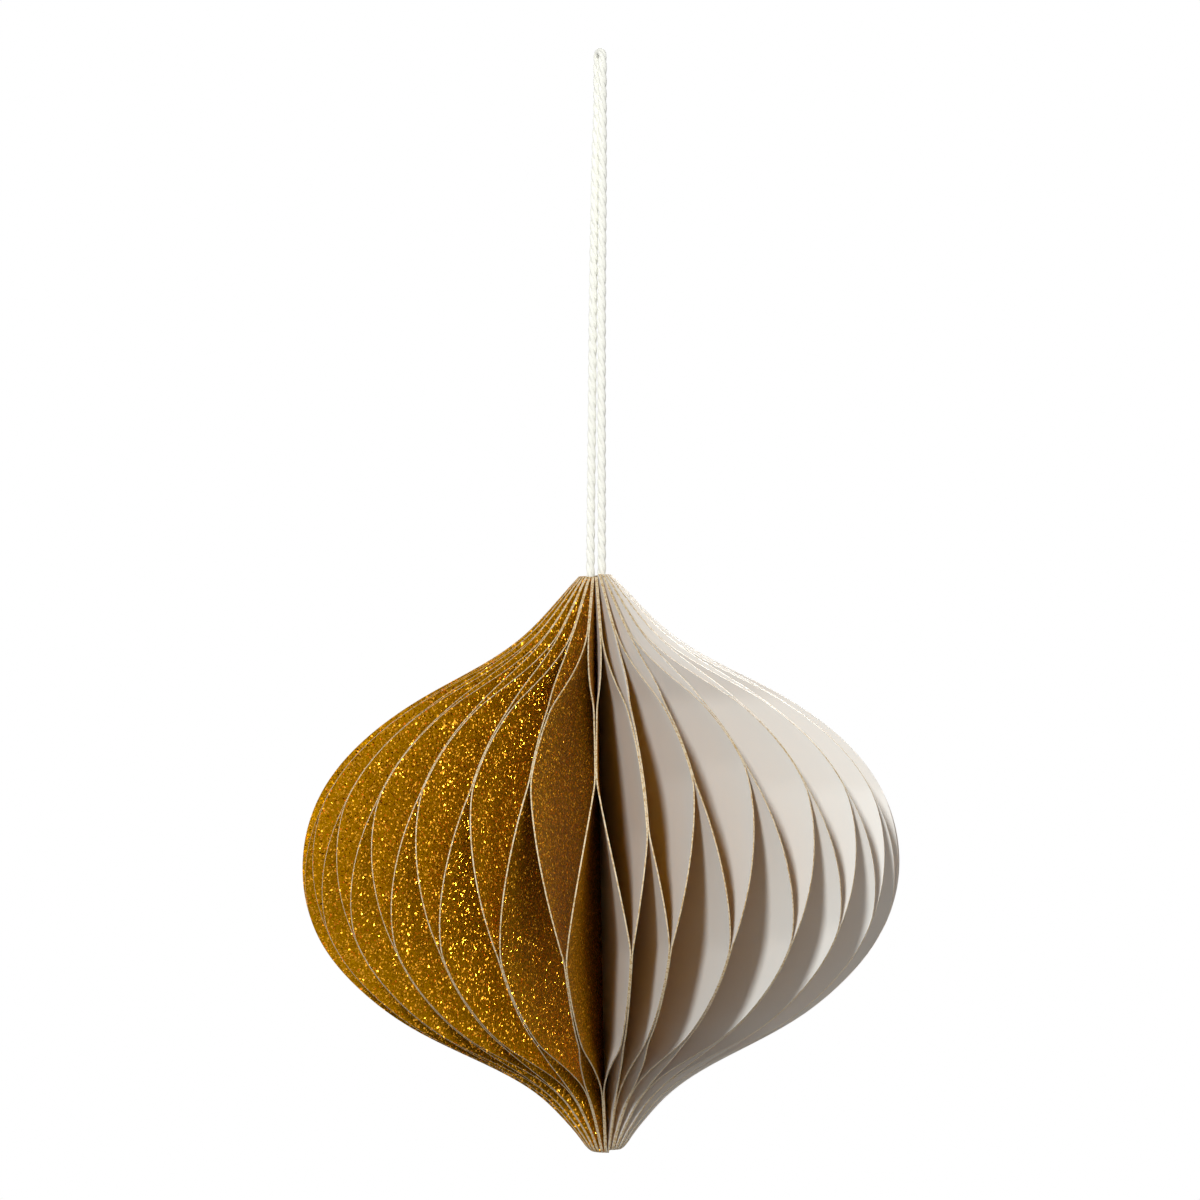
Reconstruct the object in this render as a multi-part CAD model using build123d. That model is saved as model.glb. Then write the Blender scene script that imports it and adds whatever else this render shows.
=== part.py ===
from build123d import *
import math
import os

# A honeycomb ball ornament on a loop of twisted cord. The ball is a ring of identical card
# leaves that stand round a hollow core. Each leaf is glued to one neighbour near the top tip
# and below the middle, and to its other neighbour above the middle and near the bottom tip,
# so the leaves part into tall onion-shaped cells between the glue lines.
#
# Frame: the origin is the inside of the loop's top, where the ornament hangs. +Z is up and
# -Y is the front. Millimetres and degrees.

# ---- driving dimensions ----
ball_radius = 50.0
ball_height = 96.3
tip_width = 0.54  # card left between the hollow core and a leaf's end at each tip
leaf_pairs = 29
card_thickness = 0.22
glue_film = 0.02
ball_lean = 1.1  # the ball hangs a little out of true, its top towards -X
mouth_offset = -0.8  # X of the core's top end, where the cord comes out
seam_azimuth = 10.0  # the ring of leaves was closed here; 0 is the front, + is towards +X
seam_step = 0.45  # the first leaf sits this much higher than the last, where they meet

# Heights of the glue lines in the ball, from its middle. The leaves of a pair touch from a
# tip down to its split, or from where they join down to where they open again.
top_split = 38.1
upper_close = 27.2
upper_touch = 21.0
upper_split = 13.2
lower_join = -10.7
lower_touch = -19.0
lower_open = -28.4
bottom_join = -36.7
cell_stretch = 2.3  # cells at the front and back are this much taller at each end
hairline = 0.25  # half the angle left between a pair's leaves where they only nearly touch
bend_softness = 1.2  # half the height over which card rounds off at the end of a glue line

# The glued joints crowd towards the seam, first the two rows about the ball's middle and then
# the two rows near its tips. Azimuth of a joint, and how far its rim is moved.
middle_crowding = [
    (-180.0, 0.0),
    (-95.0, 2.6),
    (-62.0, 2.8),
    (-48.0, 1.9),
    (-33.0, 0.7),
    (-15.0, 0.7),
    (-4.0, 1.8),
    (4.0, 1.8),
    (10.0, -1.1),
    (16.0, -3.4),
    (29.0, -3.2),
    (41.0, -1.6),
    (56.0, -0.7),
    (80.0, 0.0),
    (180.0, 0.0),
]
tip_crowding = [
    (-180.0, 0.0),
    (-95.0, 2.6),
    (-33.0, 2.6),
    (-21.0, 1.6),
    (-9.0, 2.8),
    (-2.0, 0.8),
    (4.0, -0.2),
    (10.0, -0.4),
    (16.0, -1.2),
    (25.0, -2.4),
    (38.0, -3.2),
    (56.0, -1.5),
    (80.0, 0.0),
    (180.0, 0.0),
]
height_scatter = 0.6  # hand-glued joints vary this much in height
angle_scatter = 0.25  # and this many degrees round the ball

# Joints that were glued well off their line: (glue row, pair) and the change in height.
stray_joints = {(2, 0): -9.0, (2, 4): 2.6, (3, 1): 1.8, (3, -1): 1.6, (4, 0): -4.0}

# Outline of a leaf from the top tip to the bottom tip: height as a share of half the ball's
# height, and width as a share of the way from the tip's radius to the ball's radius.
outline = [
    (1.0, 0.0),
    (0.965, 0.034),
    (0.896, 0.098),
    (0.797, 0.201),
    (0.704, 0.341),
    (0.600, 0.542),
    (0.478, 0.733),
    (0.271, 0.924),
    (0.0, 1.0),
    (-0.215, 0.958),
    (-0.424, 0.797),
    (-0.528, 0.665),
    (-0.650, 0.441),
    (-0.754, 0.246),
    (-0.822, 0.155),
    (-0.892, 0.087),
    (-0.962, 0.030),
    (-0.990, 0.008),
    (-1.0, -0.006),
]

cord_diameter = 1.45
knot_height = 4.0
knot_clearance = 0.12
knot_rounding = 0.8

# The cord's route: up from the knot, out of the core, over the top of the loop and down
# again. The loop is turned so that its first strand is in front at the top.
cord_route = [
    (0.30, 0.0, -101.0),
    (0.30, 0.0, -87.0),
    (0.27, -0.12, -62.0),
    (0.28, -0.30, -41.0),
    (0.45, -0.45, -20.0),
    (0.42, -0.80, -8.5),
    (0.42, -1.44, -2.9),
    (0.44, -1.50, 0.725),
    (-0.44, 1.50, 0.725),
    (-0.42, 1.44, -2.9),
    (-0.40, 0.80, -8.0),
    (-0.78, 0.45, -18.5),
    (-1.17, 0.30, -40.0),
    (-1.36, 0.12, -62.0),
    (-1.64, 0.0, -87.0),
    (-1.64, 0.0, -101.0),
]

# ---- sizes that follow ----
leaf_count = 2 * leaf_pairs
leaf_spacing = 360 / leaf_count
half_height = ball_height / 2
# At this radius the roots of neighbouring leaves stand a glue film apart.
core_radius = (card_thickness + glue_film) / (2 * math.tan(math.radians(leaf_spacing / 2)))
tip_radius = core_radius + tip_width
outline_samples = 120
softening_samples = 9

# The ball is placed by the core's top end, which the route's second point lies in.
mouth_height = cord_route[1][2]
ball_place = Pos(mouth_offset, 0, mouth_height) * Rot(0, -ball_lean, 0) * Pos(0, 0, -half_height)


def between(x, points):
    """The height at x of the line through points, which are in rising order of x."""
    for (x0, y0), (x1, y1) in zip(points, points[1:]):
        if x <= x1:
            return y0 + (y1 - y0) * (x - x0) / (x1 - x0)
    return points[-1][1]


def scatter(row, pair):
    """An uneven but repeatable value from -1 to 1 for each joint."""
    return math.sin(2.4 * pair + 1.7 * row) * math.cos(5.3 * pair + 0.6 * row)


def leaf_azimuth(leaf):
    """Where a leaf's root stands round the core."""
    return seam_azimuth + (leaf - 0.5) * leaf_spacing


def turned(angle):
    """The same direction, from -180 to 180 degrees."""
    return (angle + 180) % 360 - 180


def joint_shift(row, pair):
    """How far round the ball a joint's rim is moved from the middle of its two roots."""
    middle = turned(seam_azimuth + pair * leaf_spacing)
    crowding = tip_crowding if row in (1, 4) else middle_crowding
    return between(middle, crowding) + angle_scatter * scatter(row, pair)


def joint_lift(row, pair):
    """How far a joint is glued above its line."""
    signed_pair = pair if pair <= leaf_pairs else pair - leaf_count
    stray = stray_joints.get((row, signed_pair), 0.0)
    return stray + height_scatter * scatter(row + 4, pair)


def joint_stretch(pair):
    """How much farther from the ball's middle a joint beside a cell's wide part is glued."""
    return cell_stretch * math.cos(2 * math.radians(seam_azimuth + pair * leaf_spacing))


def leaf_lean(leaf, pair, row):
    """The angle that a leaf leans round the ball to meet its partner at a joint."""
    root_to_joint = leaf_spacing / 2 if pair == leaf else -leaf_spacing / 2
    return root_to_joint + joint_shift(row, pair % leaf_count)


def lean_path(leaf):
    """Heights, and the angle that a leaf leans at each, in rising order of height."""
    upper_and_lower = [leaf, leaf - 1] if leaf % 2 else [leaf - 1, leaf]
    first, second = upper_and_lower
    to_first = 1 if first == leaf else -1
    lift = {
        1: joint_lift(1, first % leaf_count),
        2: joint_lift(2, second % leaf_count),
        3: joint_lift(3, first % leaf_count),
        4: joint_lift(4, second % leaf_count),
    }
    lean = {
        1: leaf_lean(leaf, first, 1),
        2: leaf_lean(leaf, second, 2),
        3: leaf_lean(leaf, first, 3),
        4: leaf_lean(leaf, second, 4),
    }
    return [
        (-ball_height, lean[4]),
        (bottom_join + lift[4], lean[4]),
        (lower_open, lean[3] - to_first * hairline),
        (lower_touch, lean[3]),
        (lower_join - joint_stretch(first) + lift[3], lean[3]),
        (upper_split + joint_stretch(second) + lift[2], lean[2]),
        (upper_touch, lean[2]),
        (upper_close, lean[2] + to_first * hairline),
        (top_split + lift[1], lean[1]),
        (ball_height, lean[1]),
    ]


def softened(height, path):
    """The lean at a height, with the corners of the path rounded off."""
    steps = range(softening_samples)
    offsets = [bend_softness * (2 * n / (softening_samples - 1) - 1) for n in steps]
    return sum(between(height + o, path) for o in offsets) / softening_samples


def make_outline():
    """Points (radius, height) down the cut edge of a leaf."""
    reach = ball_radius - tip_radius
    curve = Spline(*[(tip_radius + w * reach, h * half_height) for h, w in outline])
    return [curve @ (n / outline_samples) for n in range(outline_samples + 1)]


def make_leaf(leaf, outline_points):
    """A leaf: ruled card between its straight root and its leaning, bending rim."""
    path = lean_path(leaf)
    lift = seam_step * (0.5 - leaf / leaf_count)
    rim_points, root_points = [], []
    for point in outline_points:
        lean = math.radians(softened(point.Y, path))
        width = point.X - core_radius
        height = point.Y + lift
        rim_points.append((core_radius + width * math.cos(lean), width * math.sin(lean), height))
        root_points.append((core_radius, 0, height))
    steps = [n / outline_samples for n in range(outline_samples + 1)]
    rim = Edge.make_spline([Vector(*p) for p in rim_points], parameters=steps)
    root = Edge.make_spline([Vector(*p) for p in root_points], parameters=steps)
    back = Face.make_surface_from_curves(root, rim).moved(Pos(0, -card_thickness / 2, 0))
    card = Solid.extrude(back, Vector(0, card_thickness, 0))
    return ball_place * Rot(0, 0, leaf_azimuth(leaf) - 90) * card


def cord_radii():
    """A bend as large as its two runs allow at each corner of the cord's route."""
    points = [Vector(*p) for p in cord_route]
    radii = []
    for before, corner, after in zip(points, points[1:], points[2:]):
        run_in, run_out = corner - before, after - corner
        shorter = min(run_in.length, run_out.length)
        turn = math.radians(run_in.get_angle(run_out))
        radii.append(0.45 * shorter / math.tan(turn / 2))
    return radii


def make_cord():
    """The loop of cord, one tube from its start in the knot to its end there."""
    radii = cord_radii()
    print("cord bend radii", [round(r, 1) for r in radii])
    line = FilletPolyline(*cord_route, radius=radii)
    start = Plane(origin=cord_route[0], z_dir=(0, 0, 1))
    cord = sweep(start * Circle(cord_diameter / 2), path=line)
    section = math.pi * (cord_diameter / 2) ** 2
    print("cord length", round(line.length, 1), "volume", round(cord.volume / section, 1))
    return cord


def make_knot():
    """The glued knot at the cord's ends, a snug fit in the hollow core."""
    middle = cord_route[0][2] - knot_height / 2
    core_x = mouth_offset + (mouth_height - middle) * math.tan(math.radians(ball_lean))
    knot = Pos(core_x, 0, middle) * Cylinder(core_radius - knot_clearance, knot_height)
    return fillet(knot.edges().filter_by(GeomType.CIRCLE), knot_rounding)


os.makedirs("parts", exist_ok=True)
outline_points = make_outline()
for leaf in range(1, leaf_count + 1):
    export_step(make_leaf(leaf, outline_points), f"parts/leaf_{leaf:02d}.step")
export_step(make_cord(), "parts/hanging_cord.step")
export_step(make_knot(), "parts/cord_knot.step")
print("core radius", round(core_radius, 3))
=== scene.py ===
# %% [markdown]
# # A honeycomb paper ball on a loop of cord
# The ball is a ring of 58 card leaves, glitter on one side and white on the other, glued
# to each other at four heights so that they part into onion-shaped cells. A loop of twisted
# cotton cord comes out of its hollow core. The leaves were cut and bent in CAD, and they are
# loaded here as a fixed frame. What is left for Blender is how they look: the glitter, the
# white face, the cut edge, and the cord with its three twisted strands.

# %% Load the leaves
import math

import bmesh
import bpy
from mathutils import Matrix, Vector


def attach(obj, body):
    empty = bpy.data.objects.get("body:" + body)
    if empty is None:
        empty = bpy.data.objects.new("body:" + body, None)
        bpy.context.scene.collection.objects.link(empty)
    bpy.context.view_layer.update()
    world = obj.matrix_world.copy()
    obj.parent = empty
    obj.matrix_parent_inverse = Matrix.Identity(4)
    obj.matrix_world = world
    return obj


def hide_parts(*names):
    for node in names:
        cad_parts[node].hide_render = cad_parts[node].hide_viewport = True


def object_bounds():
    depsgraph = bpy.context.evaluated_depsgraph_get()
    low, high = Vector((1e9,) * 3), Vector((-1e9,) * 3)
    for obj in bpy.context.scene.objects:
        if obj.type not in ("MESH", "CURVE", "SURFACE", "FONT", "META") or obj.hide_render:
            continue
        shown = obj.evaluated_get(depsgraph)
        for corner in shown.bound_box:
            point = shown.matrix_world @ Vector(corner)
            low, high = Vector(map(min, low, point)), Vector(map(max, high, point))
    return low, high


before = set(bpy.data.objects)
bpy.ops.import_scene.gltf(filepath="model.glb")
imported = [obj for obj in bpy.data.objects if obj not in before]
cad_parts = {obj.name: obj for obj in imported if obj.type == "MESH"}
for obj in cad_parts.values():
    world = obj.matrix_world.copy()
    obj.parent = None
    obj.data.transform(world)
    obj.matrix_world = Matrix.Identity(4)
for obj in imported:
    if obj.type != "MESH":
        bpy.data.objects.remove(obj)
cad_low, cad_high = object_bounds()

leaves = [obj for name, obj in sorted(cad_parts.items()) if name.startswith("leaf_")]
print(len(leaves), "leaves, model box", [round(v, 4) for v in (*cad_low, *cad_high)])


def deselect_all():
    """Operators act on all that is selected, and loading leaves every leaf selected."""
    for obj in bpy.context.selected_objects:
        obj.select_set(False)


deselect_all()

# %% [markdown]
# ## The camera
# A short lens close by would bulge the nearest cells. A long lens a little under a metre away
# keeps the ball's outline almost as it would be from far off, so that was chosen. The camera
# is level and stands higher than the ball's middle, so it looks down into the lower cells a
# little. The width of the view at the ball fixes the lens.

# %% Place the camera
camera_distance = 0.8
camera_height = -0.0911
view_width = 0.2012
sensor_width = 36.0

camera_data = bpy.data.cameras.new("camera")
camera_data.sensor_width = sensor_width
camera_data.lens = sensor_width * camera_distance / view_width
camera_data.clip_start = 0.01
camera_data.clip_end = 20
camera = bpy.data.objects.new("camera", camera_data)
camera.location = (0, -camera_distance, camera_height)
camera.rotation_euler = (math.radians(90), 0, 0)
bpy.context.scene.collection.objects.link(camera)
bpy.context.scene.camera = camera
print("lens", round(camera_data.lens, 1), "mm")

# %% [markdown]
# ## The cord's route
# The cord is one length: up out of the core, over the top of the loop, and back down. It
# hangs taut under the ball's weight, so nothing has to be simulated. Straight pieces would
# show a corner at each point, so a NURBS curve of order 3 follows a short list of points
# smoothly instead. The order and the end points are set after the points, because set before
# them they would leave a broken line.

# %% List the points of the route
cord_diameter = 0.00145
cord_route = [
    (0.00030, 0.0, -0.1010),
    (0.00030, 0.0, -0.0870),
    (0.00027, -0.00012, -0.0620),
    (0.00028, -0.00030, -0.0410),
    (0.00045, -0.00045, -0.0200),
    (0.00042, -0.00080, -0.0085),
    (0.00042, -0.00144, -0.0029),
    (0.00044, -0.00150, 0.000725),
    (-0.00044, 0.00150, 0.000725),
    (-0.00042, 0.00144, -0.0029),
    (-0.00040, 0.00080, -0.0080),
    (-0.00078, 0.00045, -0.0185),
    (-0.00117, 0.00030, -0.0400),
    (-0.00136, 0.00012, -0.0620),
    (-0.00164, 0.0, -0.0870),
    (-0.00164, 0.0, -0.1010),
]
print(len(cord_route), "points on the cord's route")

# %% Lay a smooth curve through them
steps_between = 64


def route_line(name, points):
    """Points along a smooth NURBS curve through a route."""
    curve = bpy.data.curves.new(name, "CURVE")
    curve.dimensions = "3D"
    spline = curve.splines.new("NURBS")
    spline.points.add(len(points) - 1)
    for control, place in zip(spline.points, points):
        control.co = (*place, 1)
    spline.order_u = 3
    spline.use_endpoint_u = True
    curve.resolution_u = steps_between
    holder = bpy.data.objects.new(name, curve)
    bpy.context.scene.collection.objects.link(holder)
    bpy.context.view_layer.update()
    depsgraph = bpy.context.evaluated_depsgraph_get()
    mesh = bpy.data.meshes.new_from_object(holder.evaluated_get(depsgraph))
    line = [v.co.copy() for v in mesh.vertices]
    bpy.data.meshes.remove(mesh)
    bpy.data.objects.remove(holder)
    bpy.data.curves.remove(curve)
    return line


uneven_line = route_line("cord_route", cord_route)
print("curve of", len(uneven_line), "points")

# %% Space its points evenly
ring_spacing = 0.00022


def evenly(line, step):
    """The same line with points an even step apart, and its length."""
    lengths = [0.0]
    for a, b in zip(line, line[1:]):
        lengths.append(lengths[-1] + (b - a).length)
    count = round(lengths[-1] / step)
    even, k = [], 0
    for n in range(count + 1):
        along = lengths[-1] * n / count
        while k < len(line) - 2 and lengths[k + 1] < along:
            k += 1
        share = (along - lengths[k]) / (lengths[k + 1] - lengths[k])
        even.append(line[k].lerp(line[k + 1], min(share, 1.0)))
    return even, lengths[-1]


cord_line, cord_length = evenly(uneven_line, ring_spacing)
print("cord length", round(cord_length, 4), "m in", len(cord_line), "steps")

# %% [markdown]
# ## The twisted cord
# Three strands twist round each other. Three separate tubes would cut through one another
# along the middle of the cord, so one tube is made instead, with the outline that a cut
# across the cord shows: three round lobes. That outline is carried along the centre line,
# turned a little more at each step, and its rings are joined into one closed tube. The tube
# gets a UV map that runs round and along the strands, for the fine yarns in the material.

# %% Draw the outline of three strands
strand_count = 3
points_a_lobe = 12
strand_radius = 0.00042
strand_offset = cord_diameter / 2 - strand_radius


def lobed_outline():
    """(angle, radius) round the three strands, the outer side of each as an arc."""
    outline = []
    for lobe in range(strand_count):
        for n in range(points_a_lobe):
            turn = (n / points_a_lobe - 0.5) * 2 * math.pi / strand_count
            across = strand_offset * math.sin(turn)
            out = strand_offset * math.cos(turn)
            reach = out + math.sqrt(max(strand_radius**2 - across**2, 0.0))
            outline.append((turn + lobe * 2 * math.pi / strand_count, reach))
    return outline


cord_outline = lobed_outline()
print("cord radius", round(min(r for _, r in cord_outline), 5), "to", cord_diameter / 2)

# %% Carry the outline along the route
lay_length = 0.0066


def twisted_rings(bm, line, outline, lay):
    """Rings of vertices along a line, the outline making one turn in each lay."""
    side = Vector((1, 0, 0))
    rings, turned = [], 0.0
    for n, here in enumerate(line):
        ahead = line[min(n + 1, len(line) - 1)] - line[max(n - 1, 0)]
        ahead.normalize()
        side = (side - ahead * side.dot(ahead)).normalized()
        other = ahead.cross(side)
        ring = []
        for angle, radius in outline:
            a = angle + turned
            ring.append(bm.verts.new(here + (side * math.cos(a) + other * math.sin(a)) * radius))
        rings.append(ring)
        if n + 1 < len(line):
            turned -= 2 * math.pi * (line[n + 1] - here).length / lay
    return rings


print("the strands make", round(cord_length / lay_length, 1), "turns")

# %% Join the rings into a closed tube
def join_rings(bm, rings, uv):
    """Smooth faces between the rings, with their place round and along as UV, and two ends."""
    size = len(rings[0])
    for n, (low, high) in enumerate(zip(rings, rings[1:])):
        for k in range(size):
            following = (k + 1) % size
            face = bm.faces.new((low[k], low[following], high[following], high[k]))
            face.smooth = True
            corners = ((k, n), (k + 1, n), (k + 1, n + 1), (k, n + 1))
            for loop, (u, v) in zip(face.loops, corners):
                loop[uv].uv = (u / size, v / len(rings))
    bm.faces.new(list(reversed(rings[0])))
    bm.faces.new(rings[-1])
    bm.normal_update()


def twisted_tube(name, line, outline, lay):
    """A closed tube along a line, with a twisted outline."""
    mesh = bpy.data.meshes.new(name)
    bm = bmesh.new()
    uv = bm.loops.layers.uv.new("UVMap")
    join_rings(bm, twisted_rings(bm, line, outline, lay), uv)
    bm.to_mesh(mesh)
    bm.free()
    obj = bpy.data.objects.new(name, mesh)
    bpy.context.scene.collection.objects.link(obj)
    return obj


cord = twisted_tube("twisted_cord", cord_line, cord_outline, lay_length)
print("cord faces", len(cord.data.polygons))

# %% [markdown]
# ## Node helpers
# Materials are graphs of nodes. Each could be wired by hand, socket by socket, but these
# helpers add a node, set it and join it in one call, so that each material below reads as a
# short list of what it is made of.

# %% Add nodes and join them
def add_node(tree, kind, **settings):
    """A new node in a tree, with its properties set."""
    node = tree.nodes.new(kind)
    for key, value in settings.items():
        setattr(node, key, value)
    return node


def feed(tree, socket, value):
    """Joins an input to another node's output, or sets it to a number or a vector."""
    if isinstance(value, bpy.types.NodeSocket):
        tree.links.new(value, socket)
    else:
        socket.default_value = value


def math_node(tree, operation, *values):
    """A Math node, its inputs given as numbers or as sockets."""
    node = add_node(tree, "ShaderNodeMath", operation=operation)
    for socket, value in zip(node.inputs, values):
        feed(tree, socket, value)
    return node.outputs[0]


def vector_node(tree, operation, *values, scale=None):
    """A Vector Math node, its inputs given as vectors or as sockets."""
    node = add_node(tree, "ShaderNodeVectorMath", operation=operation)
    for socket, value in zip(node.inputs, values):
        feed(tree, socket, value)
    if scale is not None:
        feed(tree, node.inputs["Scale"], scale)
    gives_number = operation in ("DOT_PRODUCT", "LENGTH")
    return node.outputs["Value" if gives_number else "Vector"]


def ramp(tree, value, low, high):
    """0 where a value is under low, 1 where it is over high, and smooth between."""
    node = add_node(tree, "ShaderNodeMapRange", interpolation_type="SMOOTHSTEP")
    feed(tree, node.inputs["Value"], value)
    node.inputs["From Min"].default_value = low
    node.inputs["From Max"].default_value = high
    return node.outputs["Result"]


print("helpers for nodes are ready")

# %% Mix colours and start a material
def srgb(red, green, blue):
    """A colour given as it looks on screen, 0 to 255, in the linear values Blender mixes."""
    return tuple(
        c / 255 / 12.92 if c / 255 <= 0.04045 else ((c / 255 + 0.055) / 1.055) ** 2.4
        for c in (red, green, blue)
    )


def mix_colours(tree, factor, first, second):
    """A colour between two, which are colours or sockets."""
    node = add_node(tree, "ShaderNodeMix", data_type="RGBA")
    feed(tree, node.inputs[0], factor)
    for socket, value in ((node.inputs[6], first), (node.inputs[7], second)):
        feed(tree, socket, (*value, 1) if isinstance(value, tuple) else value)
    return node.outputs[2]


def new_material(name):
    """An empty material with its output and its Principled shader."""
    material = bpy.data.materials.new(name)
    material.use_nodes = True
    tree = material.node_tree
    tree.nodes.clear()
    output = add_node(tree, "ShaderNodeOutputMaterial")
    shader = add_node(tree, "ShaderNodeBsdfPrincipled")
    tree.links.new(shader.outputs[0], output.inputs["Surface"])
    return material, tree, shader


print("a grey of 128 on screen is", round(srgb(128, 128, 128)[0], 3), "of white in light")

# %% [markdown]
# ## Which side of the card
# Every leaf is one solid, so one material has to tell its three surfaces apart. Faces could
# be picked out one by one, but a rule is shorter and holds for every leaf. All leaves face
# the same way round the ball: the glitter looks anticlockwise seen from above, the white
# clockwise, and the cut edge outwards, up or down. The surface's normal, compared with the
# direction that runs round the ball's own axis, says which is which. The ball leans a
# little, so a Mapping node first turns the object's coordinates to stand on its axis.

# %% Find the directions round the ball
ball_lean = math.radians(1.1)
core_mouth = Vector((-0.0008, 0, -0.087))


def ball_coordinates(tree):
    """Object coordinates, and the same moved and turned to the ball's own axis."""
    turn = Matrix.Rotation(ball_lean, 3, "Y")
    where = add_node(tree, "ShaderNodeTexCoord")
    mapping = add_node(tree, "ShaderNodeMapping")
    mapping.inputs["Location"].default_value = -(turn @ core_mouth)
    mapping.inputs["Rotation"].default_value = (0, ball_lean, 0)
    tree.links.new(where.outputs["Object"], mapping.inputs["Vector"])
    return where.outputs["Object"], mapping.outputs["Vector"]


def ball_directions(tree, ball_position):
    """The direction out from the ball's axis, and the one anticlockwise round it."""
    flat = vector_node(tree, "MULTIPLY", ball_position, (1, 1, 0))
    around = vector_node(tree, "CROSS_PRODUCT", (0, 0, 1), flat)
    return vector_node(tree, "NORMALIZE", flat), vector_node(tree, "NORMALIZE", around)


print("the ball leans", round(math.degrees(ball_lean), 1), "degrees")

# %% [markdown]
# ## Glitter card
# Glitter is a layer of tiny flat flakes, each tilted its own way. Modelled flakes would be
# millions of faces, so a pattern stands for them. A Voronoi texture splits the surface into
# cells of a flake's size, and gives each cell one random colour. The parts of that colour
# say how dark the flake is, which few flakes are sparks that stand up steeply, and which
# rare ones are orange. Sparks are also given a lighter gold, which is a painted glint on top
# of the flash that their tilt and metal really catch from the lamp. The whole colour tilts
# the flake's normal. A spark also leans out from the ball by a random amount, so that some
# face the lamp and flash on every leaf.

# %% Colour the flakes
flake_size = 0.00023
spark_range = (0.81, 0.83)
fleck_range = (0.975, 0.985)
dark_flake, light_flake = srgb(124, 78, 0), srgb(192, 138, 0)
# The sparks' lighter gold is a painted glint; their tilt and metal catch the lamp for real.
painted_glint_gold, fleck_orange = srgb(255, 178, 50), srgb(225, 115, 25)


def flakes(tree, position):
    """A random colour for each flake, and its three parts."""
    cells = add_node(tree, "ShaderNodeTexVoronoi", voronoi_dimensions="3D", feature="F1")
    tree.links.new(position, cells.inputs["Vector"])
    cells.inputs["Scale"].default_value = 1 / flake_size
    parts = add_node(tree, "ShaderNodeSeparateColor")
    tree.links.new(cells.outputs["Color"], parts.inputs["Color"])
    return cells.outputs["Color"], parts.outputs


def glitter_colour(tree, parts, is_spark):
    """Brown to gold flakes, sparks in a lighter gold as a painted glint, and a few orange flecks.
    """
    dull = mix_colours(tree, parts[0], dark_flake, light_flake)
    # Sparks take the lighter gold: a painted glint.
    bright = mix_colours(tree, is_spark, dull, painted_glint_gold)
    return mix_colours(tree, ramp(tree, parts[2], *fleck_range), bright, fleck_orange)


spark_share = 1 - sum(spark_range) / 2
print("flakes", flake_size * 1000, "mm across,", round(100 * spark_share), "% of them sparks")

# %% Tilt the flakes
flake_tilt = 0.5
more_spark_tilt = 1.1
spark_lean = 1.2


def flake_normal(tree, normal, outward, colour, parts, is_spark, is_glitter):
    """The surface's normal, tilted for each flake by its own colour."""
    random_tilt = vector_node(tree, "SUBTRACT", colour, (0.5, 0.5, 0.5))
    lean = math_node(tree, "MULTIPLY", is_spark, parts[2])
    lean = math_node(tree, "MULTIPLY", lean, spark_lean)
    lean_out = vector_node(tree, "SCALE", outward, scale=lean)
    tilt = vector_node(tree, "ADD", random_tilt, lean_out)
    steep = math_node(tree, "MULTIPLY_ADD", is_spark, more_spark_tilt, flake_tilt)
    amount = math_node(tree, "MULTIPLY", is_glitter, steep)
    tilted = vector_node(tree, "ADD", normal, vector_node(tree, "SCALE", tilt, scale=amount))
    return vector_node(tree, "NORMALIZE", tilted)


print("tilt of a flake", flake_tilt, "and of a spark", flake_tilt + more_spark_tilt)

# %% [markdown]
# ## The whole card
# The white side has a thin coat and is almost plain. The cut edge shows the card's cream
# core, with tan flecks where glitter stuck to it. Three shaders could be mixed, but mixing
# the colours and the shine inside one Principled shader looks the same and keeps the
# material small. The glitter is partly metal with a gold gloss, and the rest is dull paper.

# %% Mix the colours of the three surfaces
stain_range = (0.60, 0.70)
edge_cream, edge_tan = srgb(218, 200, 165), srgb(184, 152, 98)
white_coat = srgb(226, 226, 221)


def card_colour(tree, parts, is_spark, is_white, is_glitter):
    """Cream edges, a white side and a glitter side."""
    edge = mix_colours(tree, ramp(tree, parts[0], *stain_range), edge_cream, edge_tan)
    paper = mix_colours(tree, is_white, edge, white_coat)
    return mix_colours(tree, is_glitter, paper, glitter_colour(tree, parts, is_spark))


print("white coat in linear light", [round(c, 3) for c in white_coat])

# %% Give them their gloss
plain_white, gold_gloss = (1.0, 1.0, 1.0), srgb(255, 170, 20)
paper_shine, glitter_shine = 0.35, 0.02
paper_roughness, glitter_roughness = 0.55, 0.30
flake_metal, spark_metal = 0.2, 0.9


def card_gloss(tree, shader, is_spark, is_glitter):
    """A gold, metallic gloss on the glitter, and a faint plain one on paper."""
    tint = mix_colours(tree, is_glitter, plain_white, gold_gloss)
    more_shine = glitter_shine - paper_shine
    shine = math_node(tree, "MULTIPLY_ADD", is_glitter, more_shine, paper_shine)
    more_metal = spark_metal - flake_metal
    metal = math_node(tree, "MULTIPLY_ADD", is_spark, more_metal, flake_metal)
    more_rough = glitter_roughness - paper_roughness
    roughness = math_node(tree, "MULTIPLY_ADD", is_glitter, more_rough, paper_roughness)
    feed(tree, shader.inputs["Specular Tint"], tint)
    feed(tree, shader.inputs["Specular IOR Level"], shine)
    feed(tree, shader.inputs["Metallic"], math_node(tree, "MULTIPLY", is_glitter, metal))
    feed(tree, shader.inputs["Roughness"], roughness)


print("roughness of paper", paper_roughness, "and of glitter", glitter_roughness)

# %% Build the card's material
side_range = (0.45, 0.55)


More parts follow.
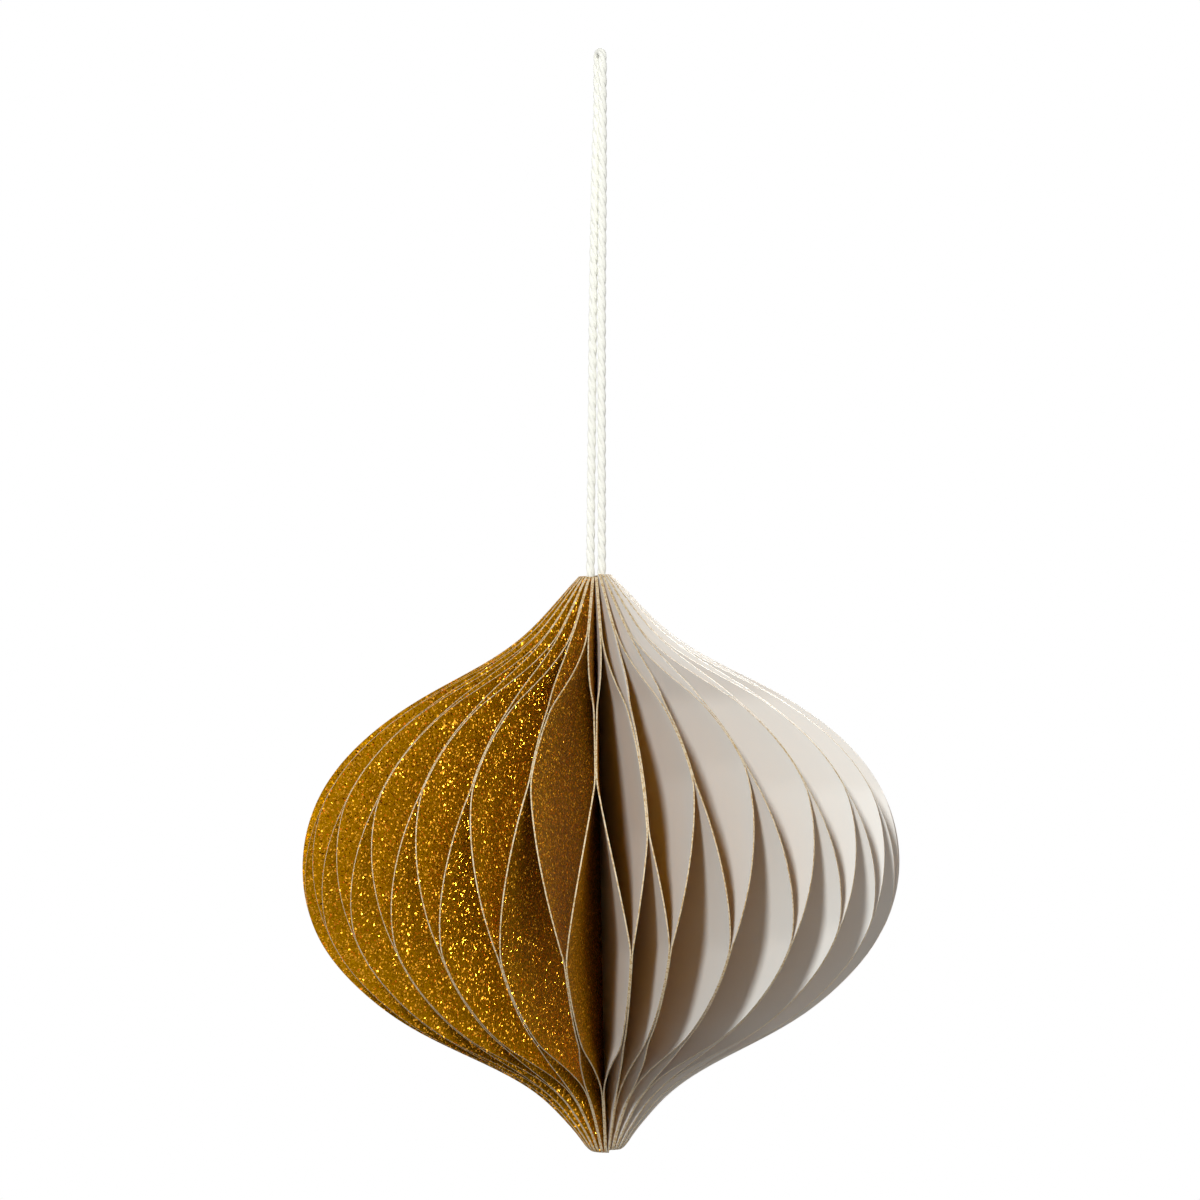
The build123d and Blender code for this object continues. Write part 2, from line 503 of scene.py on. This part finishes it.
def card_material():
    """Glitter, white coat and cut edge in one material."""
    material, tree, shader = new_material("glitter_card")
    position, ball_position = ball_coordinates(tree)
    outward, around = ball_directions(tree, ball_position)
    geometry = add_node(tree, "ShaderNodeNewGeometry")
    facing = vector_node(tree, "DOT_PRODUCT", geometry.outputs["True Normal"], around)
    is_glitter = ramp(tree, facing, *side_range)
    is_white = ramp(tree, math_node(tree, "MULTIPLY", facing, -1.0), *side_range)
    colour, parts = flakes(tree, position)
    is_spark = ramp(tree, parts[1], *spark_range)
    base = card_colour(tree, parts, is_spark, is_white, is_glitter)
    normal = flake_normal(
        tree, geometry.outputs["Normal"], outward, colour, parts, is_spark, is_glitter
    )
    feed(tree, shader.inputs["Base Color"], base)
    feed(tree, shader.inputs["Normal"], normal)
    card_gloss(tree, shader, is_spark, is_glitter)
    return material


card = card_material()
for leaf in leaves:
    leaf.data.materials.clear()
    leaf.data.materials.append(card)
print("glitter card of", len(card.node_tree.nodes), "nodes on", len(leaves), "leaves")

# %% [markdown]
# ## Cotton cord
# The cord is off-white cotton, rough and soft. Its strands are in the mesh, and only the
# fine yarns in each strand are left. They could be tubes as well, but they are little more
# than a tenth of a millimetre thick, so a texture stands for them: Noise, stretched along
# the UV map into streaks, as a faint tint and as bumps. The knot in the core is the same
# cotton.

# %% Build the cord's material
yarn_scale = (30, 120, 1)
yarn_bump, yarn_depth = 0.2, 0.0001
yarn_shade, yarn_light = srgb(238, 238, 228), srgb(246, 246, 237)
cotton_roughness, cotton_sheen = 0.85, 0.3


def cord_material():
    """Off-white cotton with fine yarns."""
    material, tree, shader = new_material("cotton_cord")
    where = add_node(tree, "ShaderNodeTexCoord")
    mapping = add_node(tree, "ShaderNodeMapping")
    mapping.inputs["Scale"].default_value = yarn_scale
    tree.links.new(where.outputs["UV"], mapping.inputs["Vector"])
    noise = add_node(tree, "ShaderNodeTexNoise")
    noise.inputs["Scale"].default_value = 1.0
    noise.inputs["Detail"].default_value = 3.0
    tree.links.new(mapping.outputs[0], noise.inputs["Vector"])
    bump = add_node(tree, "ShaderNodeBump")
    bump.inputs["Strength"].default_value = yarn_bump
    bump.inputs["Distance"].default_value = yarn_depth
    tree.links.new(noise.outputs["Fac"], bump.inputs["Height"])
    tree.links.new(bump.outputs[0], shader.inputs["Normal"])
    tint = mix_colours(tree, noise.outputs["Fac"], yarn_shade, yarn_light)
    tree.links.new(tint, shader.inputs["Base Color"])
    shader.inputs["Roughness"].default_value = cotton_roughness
    shader.inputs["Sheen Weight"].default_value = cotton_sheen
    return material


cotton = cord_material()
cord.data.materials.append(cotton)
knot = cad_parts["cord_knot"]
knot.data.materials.clear()
knot.data.materials.append(cotton)
print("cotton cord of", len(cotton.node_tree.nodes), "nodes on the cord and its knot")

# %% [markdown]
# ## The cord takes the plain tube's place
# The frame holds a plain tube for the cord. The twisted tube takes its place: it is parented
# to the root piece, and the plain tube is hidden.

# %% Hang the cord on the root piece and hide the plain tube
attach(cord, "root")
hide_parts("hanging_cord")
print("the cord leaves the core at", [round(v, 4) for v in core_mouth])

# %% [markdown]
# ## Floor
# The ball hangs over a pale floor. A small floor would end in a hard line against the
# backdrop, and a big one would light the ball from below. So this one fades to white towards
# its rim, and it is greyer to all light but the camera's view and reflections.

# %% Make the floor
floor_drop = 0.1
floor_radius = 1.2
bpy.ops.mesh.primitive_circle_add(
    vertices=96, radius=floor_radius, fill_type="NGON", location=(0, 0, cad_low.z - floor_drop)
)
floor = bpy.context.object
floor.name = "floor"
bpy.ops.object.transform_apply(location=True, rotation=True, scale=True)
deselect_all()
print("floor", floor_drop, "m under the ball and", floor_radius, "m in radius")

# %% Fade it to white
fade_range = (0.35, 0.65)
floor_as_lit, floor_as_seen = (0.25, 0.25, 0.25), (0.85, 0.85, 0.85)


def seen_ray(tree):
    """1 for what the camera sees, straight, in a reflection or through something clear."""
    path = add_node(tree, "ShaderNodeLightPath")
    seen = math_node(tree, "MAXIMUM", path.outputs["Is Camera Ray"], path.outputs["Is Glossy Ray"])
    return math_node(tree, "MAXIMUM", seen, path.outputs["Is Transmission Ray"])


def floor_material():
    """A pale floor that turns into white light towards its rim."""
    material, tree, shader = new_material("pale_floor")
    shader.inputs["Roughness"].default_value = 0.9
    where = add_node(tree, "ShaderNodeTexCoord")
    fade = ramp(tree, vector_node(tree, "LENGTH", where.outputs["Object"]), *fade_range)
    seen = seen_ray(tree)
    pale = mix_colours(tree, seen, floor_as_lit, floor_as_seen)
    tree.links.new(pale, shader.inputs["Base Color"])
    glow = add_node(tree, "ShaderNodeEmission")
    mix = add_node(tree, "ShaderNodeMixShader")
    feed(tree, mix.inputs[0], math_node(tree, "MULTIPLY", fade, seen))
    tree.links.new(shader.outputs[0], mix.inputs[1])
    tree.links.new(glow.outputs[0], mix.inputs[2])
    output = next(n for n in tree.nodes if n.type == "OUTPUT_MATERIAL")
    tree.links.new(mix.outputs[0], output.inputs["Surface"])
    return material


floor.data.materials.append(floor_material())
print("the floor is all white from", fade_range[1], "m outwards")

# %% [markdown]
# ## Backdrop
# The ball hangs in front of plain white. A world that is simply white would light every cell
# evenly and take its shadows away. So it is white only where it is seen, and almost dark to
# all other light, and the lamps do the lighting.

# %% Make the world
ambient_strength = 0.015


def make_world():
    """White where it is seen, and dim as a light."""
    world = bpy.data.worlds.new("studio")
    bpy.context.scene.world = world
    world.use_nodes = True
    tree = world.node_tree
    tree.nodes.clear()
    output = add_node(tree, "ShaderNodeOutputWorld")
    background = add_node(tree, "ShaderNodeBackground")
    seen = seen_ray(tree)
    strength = math_node(tree, "MULTIPLY_ADD", seen, 1 - ambient_strength, ambient_strength)
    background.inputs["Color"].default_value = (1, 1, 1, 1)
    tree.links.new(strength, background.inputs["Strength"])
    tree.links.new(background.outputs[0], output.inputs["Surface"])


make_world()
print("ambient light", ambient_strength)

# %% [markdown]
# ## Light
# The cells show their depth by the shadow that each leaf throws on the white face behind
# it. A big lamp would blur those shadows away, so the key lamp is fairly small, high and to
# the left of the camera. A wide soft lamp to the right of the camera lifts the shadows. The
# sides and the back would still be almost black, so lamps stand there too.

# %% Light the ball
# Halfway from the lowest point to the model's middle, which is near the ball's own middle.
lamp_target = Vector((0, 0, cad_low.z / 2 + (cad_low.z + cad_high.z) / 4))


def add_lamp(name, azimuth, elevation, distance, size, watts):
    """An area lamp aimed at the ball. Azimuth 0 is the camera's side, + to the right."""
    a, e = math.radians(azimuth), math.radians(elevation)
    away = Vector((math.sin(a) * math.cos(e), -math.cos(a) * math.cos(e), math.sin(e)))
    data = bpy.data.lights.new(name, "AREA")
    data.shape = "DISK"
    data.size = size
    data.energy = watts
    lamp = bpy.data.objects.new(name, data)
    lamp.location = lamp_target + away * distance
    lamp.rotation_euler = away.to_track_quat("Z", "Y").to_euler()
    bpy.context.scene.collection.objects.link(lamp)


add_lamp("key_lamp", azimuth=-16, elevation=26, distance=1.6, size=0.22, watts=21)
add_lamp("fill_lamp", azimuth=25, elevation=10, distance=1.4, size=0.8, watts=4.2)
add_lamp("right_lamp", azimuth=90, elevation=15, distance=1.4, size=0.6, watts=3)
add_lamp("back_lamp", azimuth=164, elevation=26, distance=1.6, size=0.3, watts=17)
add_lamp("left_lamp", azimuth=-100, elevation=15, distance=1.4, size=0.6, watts=5)
bpy.context.scene.view_settings.view_transform = "Standard"
print(len(bpy.data.lights), "lamps aimed at", [round(v, 4) for v in lamp_target])
